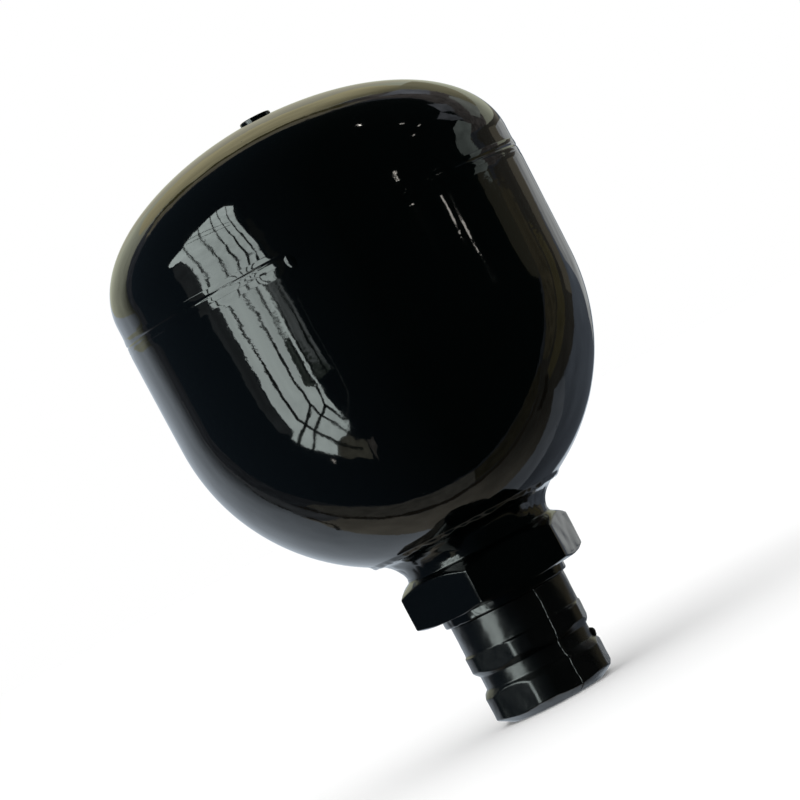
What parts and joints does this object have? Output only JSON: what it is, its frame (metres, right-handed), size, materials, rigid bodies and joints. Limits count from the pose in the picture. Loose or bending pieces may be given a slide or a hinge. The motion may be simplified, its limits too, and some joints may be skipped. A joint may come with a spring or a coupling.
{
  "type": "hydraulic diaphragm accumulator",
  "caption": "Small welded diaphragm accumulator, port down: round painted steel vessel with a hexagon boss and a screwed-in port adapter.",
  "frame": {"origin": "middle of the adapter's end face, at the mouth of the fluid port", "axes": "+Z along the vessel's axis, from the fluid port to the gas screw; +X through a corner of the large hexagon"},
  "size_m": [0.1056, 0.1056, 0.1574],
  "materials": {
    "black_paint": "gloss",
    "adapter_paint": "gloss",
    "washer_steel": "gloss",
    "screw_paint": "satin",
    "clamp_steel": "satin",
    "button_aluminium": "satin",
    "diaphragm_rubber": "matte",
    "seal_rubber": "matte"
  },
  "bodies": {
    "vessel": {"upper_shell": "black_paint", "lower_shell": "black_paint", "shell_weld_bead": "black_paint", "neck_weld_bead": "black_paint", "port_boss": "black_paint", "port_adapter": "adapter_paint", "washer_ring": "washer_steel", "washer_lip": "seal_rubber", "clamp_ring": "clamp_steel", "diaphragm": "diaphragm_rubber", "charging_screw": "screw_paint", "charging_screw_o_ring": "seal_rubber"},
    "button": {"closing_button": "button_aluminium"}
  },
  "joints": [
    {"name": "diaphragm_stroke", "type": "slide", "parent": "vessel", "child": "button", "axis": [0, 0, 1], "range_m": [0, 0.06], "deforming": ["diaphragm"]}
  ]
}
